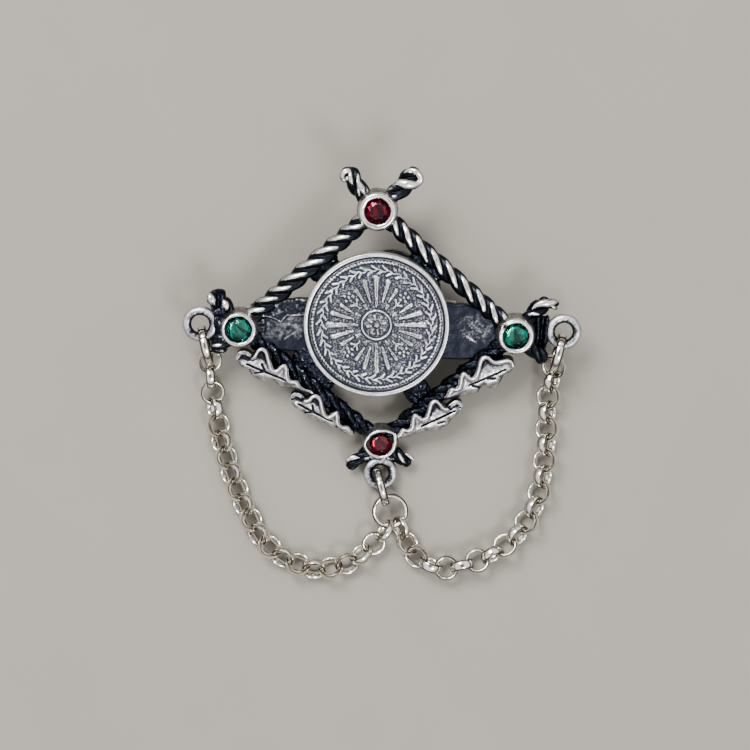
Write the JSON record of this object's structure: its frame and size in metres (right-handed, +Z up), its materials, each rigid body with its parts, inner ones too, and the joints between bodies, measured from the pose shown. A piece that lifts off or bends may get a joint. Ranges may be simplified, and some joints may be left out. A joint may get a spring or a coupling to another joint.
{
  "type": "coin lapel pin with stone-set rope frame and chain swags",
  "caption": "Brooch with a coin on a diamond frame of twisted rods and oak leaves, with cut stones in round cups at the corners and two chain swags below.",
  "frame": {"origin": "middle of the bottom of the whole box: the pin lies face up on a level surface at z = 0", "axes": "+Y towards the top of the brooch, +Z up, away from the surface it lies on, +X to the right of the brooch seen from its face"},
  "size_m": [0.0548, 0.0564, 0.0122],
  "materials": {
    "cast_metal": "antiqued silver casting, polished crests over near-black recesses",
    "coin_metal": "silver coin, bright raised design on a darkened field",
    "ring_metal": "bright nickel plate",
    "fitting_metal": "plain nickel plate",
    "red_stone": "deep red faceted glass, foiled behind",
    "green_stone": "teal-green faceted glass, foiled behind"
  },
  "bodies": {
    "root": {"frame": "cast_metal", "coin": "coin_metal", "stone_top": "red_stone", "stone_left": "green_stone", "stone_bottom": "red_stone", "stone_right": "green_stone", "pin_back": "fitting_metal", "ring_left": "ring_metal", "ring_right": "ring_metal", "ring_bottom": "ring_metal", "ring_centre": "ring_metal", "chain_left": "ring_metal", "chain_right": "ring_metal"}
  },
  "joints": []
}
